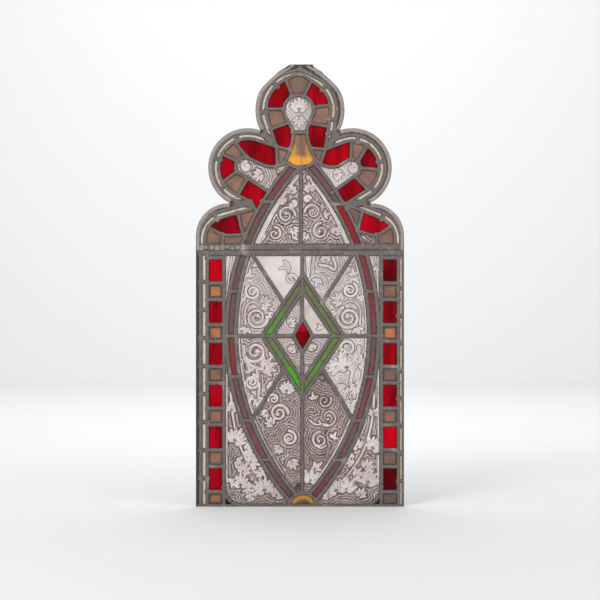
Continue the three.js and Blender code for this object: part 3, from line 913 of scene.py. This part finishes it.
# name: (wash 0 to 1, line work 0 to 1, strokes)
side_panes = {
    "side_painted_upper_left": (0.6, 0.35, spiral(-104, 472, 17, 1.7, 120)
        + spiral(-95, 415, 25, 2.0, 60, -1)
        + leaf(-84, 446, 20, 24, 5) + leaf(-118, 392, 250, 20)
        + stem([(-120, 400), (-122, 440), (-104, 452), (-88, 440)])
        + leaf(-112, 505, 80, 18) + leaf(-70, 425, 300, 16)
        + margin(-1, 6.2, 378, 540) + leaf(-98, 528, 95, 12) + leaf(-76, 396, 0, 16)
        + leaf(-124, 452, 130, 16)),
    "side_painted_upper_right": (0.55, 0.35, spiral(110, 476, 17, 1.7, 60, -1)
        + spiral(107, 415, 26, 2.0, 120, 1, 3.2)
        + leaf(92, 452, 160, 26, 5) + leaf(125, 392, 290, 20)
        + stem([(132, 400), (134, 440), (112, 455), (94, 444)])
        + leaf(118, 508, 100, 18) + leaf(78, 428, 240, 16)
        + margin(1, 6.2, 378, 540) + leaf(106, 530, 85, 12) + leaf(80, 396, 180, 16)
        + leaf(130, 455, 50, 16)),
    "side_painted_lower_left": (0.72, 0.2, spiral(-99, 340, 24, 1.5, 200, 1, 2.6)
        + stem([(-124, 352), (-122, 318), (-96, 304), (-74, 300)], 3.4, 2.6)
        + leaf(-82, 304, 20, 34, 5)
        + spiral(-106, 274, 17, 1.9, 80, -1, 2.8) + leaf(-108, 296, 120, 18)
        + leaf(-110, 246, 240, 20, 5)
        + leaf(-94, 236, 300, 22, 5) + stem([(-96, 304), (-88, 270), (-92, 238)], 2.4, 1.6)
        + leaf(-70, 268, 330, 16)
        + margin(-1, 6.2, 205, 370, 2.0, 2.0) + leaf(-126, 320, 200, 14) + leaf(-62, 330, 60, 16)),
    "side_painted_lower_right": (0.5, 0.3, spiral(105, 348, 23, 1.6, 340, -1, 3.0)
        + leaf(104, 300, 100, 40, 7)
        + leaf(84, 306, 170, 30, 5) + leaf(120, 270, 300, 36, 5) + leaf(102, 262, 230, 30, 5)
        + leaf(128, 310, 40, 28, 5)
        + stem([(130, 350), (128, 318), (112, 290), (110, 240)], 3.6, 2.4)
        + leaf(112, 232, 270, 26, 5)
        + margin(1, 6.2, 205, 370, 2.2, 2.2) + leaf(84, 340, 90, 20, 5)),
}
print("side panes:", len(side_panes))

# %% [markdown]
# The long panes under the diamond and the corners outside the oval are busier. Foliage is heaped
# in the two lower corners and thins out upwards along a stem.

# %% Paint the foot panes and the corners
foot_panes = {
    "lower_painted_top_left": (0.1, 0.22, leaf(-24, 530, 200, 22) + spiral(-20, 500, 12, 1.2, 0)),
    "lower_painted_top_right": (0.6, 0.15, [(np.array([(19, 552), (18, 505)]), 6, 2)]
        + [(np.array([(12, 480), (11, 460)]), 2.5, 1)]
        + stem([(43, 531), (64, 529), (75, 518), (80, 528), (72, 549)], 2.6, 1.8)
        + leaf(56, 538, 90, 18, 5)
        + leaf(40, 500, 250, 18)),
    "lower_painted_foot_left": (0.55, 1.0, spiral(-46, 205, 20, 1.6, 0)
        + spiral(-24, 150, 16, 1.6, 90, -1)
        + leaf(-60, 180, 140, 20, 5) + leaf(-20, 100, 300, 22, 5) + leaf(-30, 250, 80, 26, 7)
        + spiral(-58, 236, 12, 1.4, 200, -1, 2.0) + leaf(-72, 206, 200, 16, 5)
        + leaf(-44, 130, 230, 18, 5)
        + margin(-1, 6.2, 70, 190, 1.0, 1.0)),
    "lower_painted_foot_right": (0.85, 0.45, spiral(44, 146, 18, 1.4, 90, 1, 1.6)
        + spiral(62, 196, 22, 1.2, 200, 1, 1.4)
        + stem([(20, 190), (34, 178), (52, 182), (66, 178)], 1.6, 1.0)
        + stem([(34, 134), (46, 126), (58, 134)], 1.8, 1.0)
        + leaf(22, 52, 80, 34, 5) + leaf(34, 84, 40, 20) + leaf(30, 236, 100, 16)
        + margin(1, 6.6, 60, 190, 1.8, 1.8) + spiral(54, 232, 15, 1.3, 30, -1, 1.2)
        + leaf(72, 150, 60, 16)),
    "spandrel_lower_left": (0.8, 0.35, leaf(-146, 140, 60, 36, 7) + leaf(-121, 124, 0, 26, 5)
        + leaf(-112, 96, 20, 28, 5)
        + leaf(-92, 80, 320, 22, 5) + leaf(-131, 42, 90, 30, 7) + leaf(-77, 30, 110, 36, 7)
        + leaf(-54, 20, 60, 26, 5)
        + leaf(-150, 60, 270, 20)
        + stem([(-152, 250), (-148, 190), (-130, 120), (-90, 60), (-50, 30)], 2.2, 1.4)
        + leaf(-152, 210, 70, 22, 5) + leaf(-104, 40, 200, 24, 5) + leaf(-148, 300, 80, 14)
        + upright(-161.5, 60, 290) + leaf(-128, 74, 60, 26, 5) + leaf(-100, 20, 150, 24, 5)
        + leaf(-140, 100, 330, 22)),
    "spandrel_lower_right": (0.78, 0.35, leaf(128, 128, 120, 26, 5) + leaf(117, 104, 180, 28, 5)
        + leaf(158, 124, 60, 32, 7)
        + leaf(82, 30, 120, 34, 7) + leaf(102, 32, 88, 36, 5) + leaf(131, 22, 60, 20, 5)
        + leaf(148, 48, 70, 34, 7)
        + stem([(164, 250), (160, 190), (142, 120), (100, 60), (60, 26)], 2.0, 1.2)
        + leaf(164, 200, 100, 20, 5)
        + leaf(120, 66, 20, 26, 5) + leaf(160, 280, 90, 14)
        + upright(172.5, 50, 110, 2.0) + upright(172.5, 145, 300) + leaf(142, 84, 40, 24, 5)
        + leaf(64, 18, 120, 20, 5)),
}
print("foot panes and corners:", len(foot_panes))

# %% [markdown]
# The two tall panes of the head are nearly clear, with dark line work only. The smallest panes
# carry one leaf or one scroll each. The broken pane of the right shoulder shows as a few pale
# slivers.

# %% Paint the head and the small panes
small_panes = {
    "spandrel_upper_left": (0.45, 0.4, stem([(-150, 552), (-156, 510), (-160, 470)], 1.2, 0.8)),
    "spandrel_upper_right": (0.4, 0.5, stem([(166, 552), (170, 510), (172, 470)], 1.2, 0.8)
        + leaf(168, 520, 90, 14)),
    "head_painted_left": (0.05, 0.9, spiral(-30, 641, 20, 1.3, 0, 1, 1.8)
        + spiral(-56, 600, 15, 1.2, 90, -1, 1.8)
        + leaf(-20, 690, 80, 20, 5) + leaf(-34, 668, 130, 15, 5) + leaf(-16, 612, 300, 18, 5)
        + spiral(-14, 668, 9, 1.2, 200)
        + margin(-1, 10.5, 578, 728, 6.0, 1.5) + leaf(-12, 588, 60, 12) + leaf(-78, 590, 150, 12)),
    "head_painted_right": (0.06, 0.9, spiral(28, 648, 18, 1.3, 180, -1, 1.8)
        + spiral(46, 606, 18, 1.3, 90, 1, 1.8)
        + leaf(22, 694, 100, 20, 5) + leaf(76, 600, 60, 18, 5) + leaf(14, 600, 240, 16, 5)
        + spiral(16, 676, 8, 1.2, 20)
        + margin(1, 9.5, 578, 728, 4.5, 1.2) + leaf(54, 640, 20, 14) + leaf(20, 720, 80, 10)),
    "top_lobe_painted_bud": (0.45, 0.55, leaf(-2, 870, 90, 30, 7) + leaf(-2, 856, 270, 22, 5)),
    "left_lobe_painted_leaf": (0.3, 0.8, spiral(-118, 748, 11, 1.4, 90)
        + leaf(-84, 732, 200, 22, 5)),
    "right_lobe_painted_leaf": (0.12, 0.5, spiral(116, 744, 11, 1.4, 90, -1)
        + leaf(76, 730, 0, 20, 5)),
    "inner_painted_upper_left": (0.3, 0.6, leaf(-24, 400, 40, 18, 5)),
    "inner_painted_upper_right": (0.05, 0.3, leaf(46, 390, 120, 14)),
    "inner_painted_lower_left": (0.68, 0.4, leaf(-20, 340, 60, 16, 5)),
    "inner_painted_lower_right": (0.66, 0.5, leaf(30, 345, 120, 16, 5)),
}
slivers = []
for start, end in (((138, 594), (152, 583)), ((146, 596), (156, 586)), ((135, 584), (143, 580))):
    slivers.append((np.array([start, end], float), 1.5, 0.5))
small_panes["broken_shoulder_pane"] = (1.0, 0.2, slivers)
print("small panes:", len(small_panes))

# %% [markdown]
# The strokes become numbers on the pane's vertices: the distance to the nearest stroke, and how
# close two strokes lie to each other, which makes the veins of a leaf.

# %% Put the painting on the panes
PAINTING = {**side_panes, **foot_panes, **small_panes}
painted_panes = {**named, "broken_shoulder_pane": broken}
for node, (wash, work, strokes) in PAINTING.items():
    pane = painted_panes[node]
    first, crease = ornament(plan(pane), strokes)
    give(pane, "ornament", first)
    give(pane, "crease", crease)
    give(pane, "wash", np.full(len(first), wash))
    give(pane, "line_work", np.full(len(first), work))
print("painted panes:", len(PAINTING))

# %% [markdown]
# Materials are written as arithmetic. A Wire holds one socket, and adding or multiplying wires
# adds the Math nodes, so a rule such as wash times one minus leaf reads as it would on paper.

# %% A small class for shader arithmetic
class Wire:
    """One socket of a material. Arithmetic on it adds Math nodes."""

    def __init__(self, tree, socket=None):
        self.tree = tree
        self.socket = socket

    def add(self, kind, settings=None, inputs=None, out=0):
        node = self.tree.nodes.new(kind)
        for key, value in (settings or {}).items():
            setattr(node, key, value)
        for key, value in (inputs or {}).items():
            if isinstance(value, Wire):
                self.tree.links.new(value.socket, node.inputs[key])
            else:
                node.inputs[key].default_value = value
        return Wire(self.tree, node.outputs[out])

    def math(self, operation, a, b=0.0):
        return self.add("ShaderNodeMath", {"operation": operation}, {0: a, 1: b})

    def __add__(self, other):
        return self.math("ADD", self, other)

    def __sub__(self, other):
        return self.math("SUBTRACT", self, other)

    def __rsub__(self, other):
        return self.math("SUBTRACT", other, self)

    def __mul__(self, other):
        return self.math("MULTIPLY", self, other)

    def __abs__(self):
        return self.math("ABSOLUTE", self)

    def most(self, other):
        return self.math("MAXIMUM", self, other)

    def step(self, low, high):
        """0 below low and 1 above high, with a soft rise between."""
        settings = {"interpolation_type": "SMOOTHSTEP"}
        inputs = {"Value": self, "From Min": low, "From Max": high}
        return self.add("ShaderNodeMapRange", settings, inputs)

    def fade(self, low, high):
        return 1 - self.step(low, high)

    def blend(self, a, b):
        """Colour a where this is 0, colour b where it is 1."""
        inputs = {0: self, 6: a, 7: b}
        return self.add("ShaderNodeMix", {"data_type": "RGBA"}, inputs, 2)

    __radd__ = __add__
    __rmul__ = __mul__


print("wire methods:", len([name for name in vars(Wire) if callable(getattr(Wire, name))]))

# %% [markdown]
# A Material wraps one Principled shader. Its noise reads the object's own coordinates, so the
# pattern stays on the glass and lead, and its numbers are the ones stored on the vertices.

# %% Colours and materials
def colour(red, green, blue):
    """A colour given as a painter's 0 to 255 values, made linear for the shader."""
    parts = [c / 255 for c in (red, green, blue)]
    return (*[p / 12.92 if p < 0.04045 else ((p + 0.055) / 1.055) ** 2.4 for p in parts], 1.0)


class Material:
    def __init__(self, name):
        self.data = bpy.data.materials.new(name)
        self.data.use_nodes = True
        self.tree = self.data.node_tree
        self.shader = self.tree.nodes["Principled BSDF"]
        self.wire = Wire(self.tree)
        self.place = self.wire.add("ShaderNodeTexCoord", out=3)

    def noise(self, scale, detail=3.0, rough=0.55, stretch=(1, 1, 1), distortion=0.0):
        scaled = self.wire.add("ShaderNodeMapping", {}, {"Vector": self.place, "Scale": stretch})
        inputs = {"Vector": scaled, "Scale": scale, "Detail": detail, "Roughness": rough}
        return self.wire.add("ShaderNodeTexNoise", {}, {**inputs, "Distortion": distortion})

    def number(self, name):
        return self.wire.add("ShaderNodeAttribute", {"attribute_name": name}, {}, 2)

    def set(self, bump=None, bump_height=0.0003, **sockets):
        for key, value in sockets.items():
            socket = self.shader.inputs[key.replace("_", " ").title().replace("Ior", "IOR")]
            if isinstance(value, Wire):
                self.tree.links.new(value.socket, socket)
            else:
                socket.default_value = value
        if bump is not None:
            inputs = {"Height": bump, "Distance": bump_height, "Strength": 0.6}
            normal = self.wire.add("ShaderNodeBump", {}, inputs)
            self.tree.links.new(normal.socket, self.shader.inputs["Normal"])
        return self.data


print("ruby in linear values:", [round(c, 3) for c in colour(204, 0, 26)])

# %% [markdown]
# Coloured glass is a clear, smooth shader with its colour in the body: full transmission, and a
# base colour that streaks and clouds as hand-made sheet does. Old putty and dirt darken a narrow
# rim along the lead. The plain values go on the shader itself, and only the colour and the bump
# vary.

# %% Coloured glass
def coloured_glass(
    name, deep, bright, dirt, streak=(1, 1, 0.25), roughness=0.14, transmission=0.9, panel=False
):
    m = Material(name)
    cloud = m.noise(38, 3, 0.5, streak, 0.4)
    seeds = m.noise(420, 1, 0.4).step(0.66, 0.72)
    mix = (cloud.step(0.25, 0.75) * 0.5 + m.number("shade") * 0.75 - 0.15).step(0.0, 1.0)
    body = mix.blend(deep, bright)
    grime = m.noise(130, 4, 0.6).step(0.35, 0.75)
    rim = m.number("edge").fade(2.4, 6.5) * (grime * 0.6 + 0.35)
    specks = seeds * 0.25
    if panel:
        body = m.number("edge").step(6.5, 8.0).blend(colour(120, 104, 98), body)
    base = rim.most(specks).blend(body, dirt)
    return m.set(
        bump=m.noise(60, 2, 0.5) + seeds * 0.3,
        base_color=base,
        roughness=roughness,
        transmission_weight=transmission,
        specular_ior_level=0.04,
        ior=1.15,
    )


DIRT = colour(70, 52, 48)
GLASSES = {
    "ruby": coloured_glass(
        "ruby_glass", colour(92, 0, 8), colour(204, 0, 26), colour(50, 0, 6),
        roughness=0.14, transmission=0.97,
    ),
    "umber": coloured_glass(
        "umber_glass", colour(128, 104, 98), colour(178, 136, 110), DIRT,
        (1, 1, 1), 0.3, 0.75,
    ),
    "plum": coloured_glass(
        "plum_glass", colour(122, 98, 98), colour(156, 48, 54), DIRT,
        (1, 1, 0.3), 0.22, 0.8,
    ),
    "green": coloured_glass(
        "green_glass", colour(122, 122, 94), colour(92, 178, 52), colour(60, 74, 40),
        (1, 1, 0.5),
    ),
    "gold": coloured_glass(
        "gold_glass", colour(134, 108, 92), colour(248, 176, 76), colour(96, 62, 40),
    ),
    "cream": coloured_glass(
        "cream_glass", colour(238, 218, 204), colour(255, 244, 232), colour(164, 140, 122),
        (1, 1, 0.4), 0.3, 0.6,
    ),
    "square": coloured_glass(
        "square_glass", colour(134, 108, 98), colour(214, 132, 84), DIRT,
        (1, 1, 1), 0.3, 0.75, True,
    ),
}
print("glass colours:", sorted(GLASSES))

# %% [markdown]
# The painted glass puts the wash, the scratched-out scrolls and the fine line work on one clear
# shader. Fired glass paint is a thin brown layer in the surface, so it acts on the colour that
# comes through and not as a coat on top.

# %% Painted glass
def painted_glass():
    m = Material("painted_glass")
    wobble = m.noise(260, 3, 0.6) * 1.6 - 0.8
    shape = m.number("ornament") + wobble
    light = shape.fade(-0.5, 0.5)
    outline = shape.step(0.1, 0.6) * shape.fade(1.3, 2.2)
    veins = m.number("crease").fade(0.5, 1.3) * light
    inner = abs(m.number("ornament") + 2.6).fade(0.15, 0.6) * light
    cloud = m.noise(24, 4, 0.6)
    scratches = m.noise(260, 3, 0.7, (1, 1, 0.3), 0.6).step(0.3, 0.7)
    hatch = m.noise(190, 3, 0.7, (1, 1, 1), 1.4).step(0.42, 0.58)
    spaced = (m.number("ornament") + m.noise(45, 2, 0.5) * 9.0) * 0.19
    echo = abs(spaced.math("FRACT", spaced) - 0.5).fade(0.12, 0.28)
    film = m.number("wash").step(0.5, 0.9) * 0.25 + 0.16
    strokes = scratches * 0.3 + film + hatch * 0.35 + echo * 0.7
    wash = m.number("wash") * (cloud * 0.6 + 0.5) * strokes
    swirl = m.noise(52, 1.5, 0.5, (1, 1, 1), 1.6)
    rings = swirl * 9.0
    contour = abs(rings.math("FRACT", rings) - 0.5).fade(0.1, 0.26)
    fine = m.noise(210, 2, 0.6, (1, 1, 1), 2.2).step(0.5, 0.57)
    work = m.number("line_work") * (contour * 0.6).most(fine * 0.75).most(echo) * (1 - light * 0.8)
    flecks = hatch * scratches * light * 0.55
    ink = (wash * (1 - light * 0.86)).most(flecks).most(outline)
    ink = ink.most(veins * 0.75).most(inner * 0.5).most(work)
    grain = m.noise(900, 2, 0.6) * 0.22
    amount = (ink + grain * ink).step(0.02, 1.0)
    brown = m.noise(30, 3, 0.6).step(0.3, 0.7).blend(colour(82, 56, 48), colour(132, 98, 90))
    glass = m.noise(18, 3, 0.5).step(0.3, 0.7).blend(colour(236, 222, 216), colour(255, 250, 248))
    rim = m.number("edge").fade(2.4, 5.5) * 0.55
    base = rim.blend(amount.blend(glass, brown), colour(112, 96, 90))
    return m.set(
        bump=amount,
        bump_height=0.0002,
        base_color=base,
        roughness=0.3,
        transmission_weight=0.75,
        specular_ior_level=0.15,
        ior=1.5,
    )


PAINTED = painted_glass()
print(PAINTED.name, len(PAINTED.node_tree.nodes), "nodes")

# %% [markdown]
# Lead goes dull and dark in the corners, where dirt and blacking stay, and rubs pale on the
# crowns. The same colour also paints light on: a painted highlight on each crown and painted shade
# at the lips by the glass. The height of the surface says which is which: a crown stands nearly
# 4 mm off the middle plane of the light and a lip by the glass little over 2 mm.

# %% Lead
def old_lead(name, dark, middle, pale):
    m = Material(name)
    split = m.wire.add("ShaderNodeSeparateXYZ", {}, {0: m.place}, 1)
    height = abs(split) * 1000.0
    # Paler on the crowns and darker at the lips: partly dirt and wear, partly painted highlight and
    # painted shade.
    crown = height.step(2.5, 3.6)
    patina = m.noise(95, 5, 0.65)
    fine = m.noise(600, 3, 0.6)
    streaks = m.noise(240, 4, 0.7).step(0.35, 0.65)
    shading_and_patina = (crown * 0.8 + patina * 0.6 + fine * 0.25 + streaks * 0.35 - 0.66).step(0.0, 1.0)
    base = shading_and_patina.blend(dark, middle)
    # Pale patches on the crowns only: lead bloom together with a painted highlight.
    bloom_and_highlight = (m.noise(28, 4, 0.6).step(0.55, 0.72) * crown) * 0.6
    rough = patina * 0.25 + 0.45
    return m.set(
        bump=patina + fine * 0.5,
        bump_height=0.0006,
        base_color=bloom_and_highlight.blend(base, pale),
        roughness=rough,
        metallic=0.1,
    )


LEAD = old_lead("old_lead", colour(32, 26, 23), colour(112, 103, 97), colour(158, 148, 141))
EDGE_LEAD = old_lead("edge_lead", colour(66, 57, 52), colour(158, 146, 137), colour(196, 184, 172))
# The darkest lead paints shadow. It goes on the strip down the left edge and on the cap at the apex.
SHADOW_DARK_LEAD = old_lead("painted_shadow_lead", colour(20, 15, 12), colour(56, 46, 39), colour(86, 74, 63))
print("leads:", LEAD.name, EDGE_LEAD.name, SHADOW_DARK_LEAD.name)

# %% [markdown]
# Everything is then cut off flat at the edges of its panel, as the bench's laths leave it, joined
# into one net a panel, and given its material. Each piece rides on the one body and stands for
# its solid.

# %% Finish the nets and the panes
def trimmed(obj, low, high, half_width=HALF_WIDTH):
    only(obj)
    planes = [((0, 0, low), (0, 0, -1)), ((0, 0, high), (0, 0, 1))]
    planes += [((s * half_width, 0, 0), (s, 0, 0)) for s in (-1, 1)]
    for point, normal in planes:
        bpy.ops.object.mode_set(mode="EDIT")
        bpy.ops.mesh.select_all(action="SELECT")
        at = tuple(c * MM for c in point)
        bpy.ops.mesh.bisect(
            plane_co=at, plane_no=normal, use_fill=True, clear_outer=True, threshold=1e-6
        )
        bpy.ops.object.mode_set(mode="OBJECT")
    return obj


def painted_with(obj, material):
    obj.data.materials.clear()
    obj.data.materials.append(material)
    return obj


def finished(obj):
    only(obj)
    bpy.ops.object.shade_smooth_by_angle(angle=math.radians(38))
    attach(obj, "root")


print("finishing helpers ready")

# %% [markdown]
# Each panel's leading becomes one net, as soldering makes it in the workshop. The outer strip and
# the putty are paler than the inner cames. The strip down the left edge and the cap at the apex
# get the darkest lead, a painted shadow along the left edge and under the flat of the apex.

# %% Join each net
head_net = [trimmed(p, HEAD_FOOT, APEX) for p in head_parts + [head_bed, head_solder]]
lower_net = [trimmed(p, 0.0, LOWER_TOP) for p in lower_parts + [lower_bed, lower_solder, left_shadow_strip]]
# The left strip and the apex cap take the dark lead as painted shadow.
special = {left_shadow_strip: SHADOW_DARK_LEAD, apex_shadow_cap: SHADOW_DARK_LEAD, head_edge: EDGE_LEAD, head_putty: EDGE_LEAD}
for part in head_net + lower_net:
    painted_with(part, special.get(part, LEAD))
for parts, panel in ((head_net, "head"), (lower_net, "lower")):
    net = joined(parts, panel + "_net")
    finished(net)
    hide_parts(panel + "_leading")
    print(net.name, len(net.data.polygons), "faces")

# %% [markdown]
# Every pane gets its glass from a word in its name. The small panes of one kind are joined first,
# since a whole row of fillets or squares is easier to handle as one piece.

# %% Give the panes their glass
SLOTS = {kind: kind + "_glass" for kind in ("ruby", "umber", "green", "gold", "plum")}
for node, pane in named.items():
    if node in PAINTING:
        painted_with(pane, PAINTED)
    else:
        words = {"yellow": "gold", "red": "ruby", "band": "plum"}
        kind = next((words.get(w, w) for w in node.split("_") if w in words or w in SLOTS), "umber")
        painted_with(pane, GLASSES[kind])
    finished(pane)
    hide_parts(node)
painted_with(broken, PAINTED)
finished(broken)
GROUP_GLASS = {
    "cream": "cream",
    "border_r": "ruby",
    "border_s": "square",
    "band": "plum",
    "shoulder": "umber",
}
for name, found in groups.items():
    kind = next(k for start, k in GROUP_GLASS.items() if name.startswith(start))
    piece = painted_with(joined(found, name), GLASSES[kind])
    finished(piece)
print("pieces:", len(named) + len(groups) + 2)

# %% [markdown]
# The light stands on a pale floor before a pale backdrop, so that clear glass shows pale and the
# ruby glows. The camera looks straight at it from the middle of its height.

# %% Stage, light and camera
def plane(name, size, location, rotation=(0, 0, 0)):
    bpy.ops.mesh.primitive_plane_add(size=size, location=location, rotation=rotation)
    obj = bpy.context.active_object
    obj.name = name
    only(obj)
    bpy.ops.object.transform_apply(location=True, rotation=True, scale=True)
    return obj


pale = Material("pale_paint")
pale.set(base_color=(0.77, 0.77, 0.77, 1), roughness=0.9)
floor = plane("floor", 16, (0, 0, -0.0005))
backdrop = plane("backdrop", 20, (0, 4.6, 2), (math.pi / 2, 0, 0))
for piece in (floor, backdrop):
    painted_with(piece, pale.data)

world = bpy.data.worlds.new("studio")
scene.world = world
world.use_nodes = True
world.node_tree.nodes["Background"].inputs["Color"].default_value = (0.96, 0.98, 1.0, 1)
world.node_tree.nodes["Background"].inputs["Strength"].default_value = 0.85


def soft_light(name, place, aim, size, power):
    bpy.ops.object.light_add(type="AREA", location=place)
    lamp = bpy.context.active_object
    lamp.name = name
    lamp.data.size = size
    lamp.data.energy = power
    run = [b - a for a, b in zip(place, aim)]
    tilt = math.atan2(math.hypot(run[0], run[1]), -run[2])
    lamp.rotation_euler = (tilt, 0, math.atan2(-run[0], run[1]))


soft_light("key", (-1.7, -2.4, 2.4), (0, 0, 0.5), 1.4, 42)
soft_light("fill", (2.2, -2.2, 1.2), (0, 0, 0.5), 1.6, 14)
soft_light("behind", (0, 1.4, 3.2), (0, 4.6, 0.8), 2.0, 60)

scene.view_settings.view_transform = "Standard"
bpy.ops.object.camera_add(location=(0, -3.121, 0.454), rotation=(math.pi / 2, 0, 0))
camera = bpy.context.active_object
camera.data.lens = 85
scene.camera = camera
print("camera at", tuple(round(c, 3) for c in camera.location), "lens", camera.data.lens)

# %% [markdown]
# It has to stay inside the same box, since other people will place it by that box.
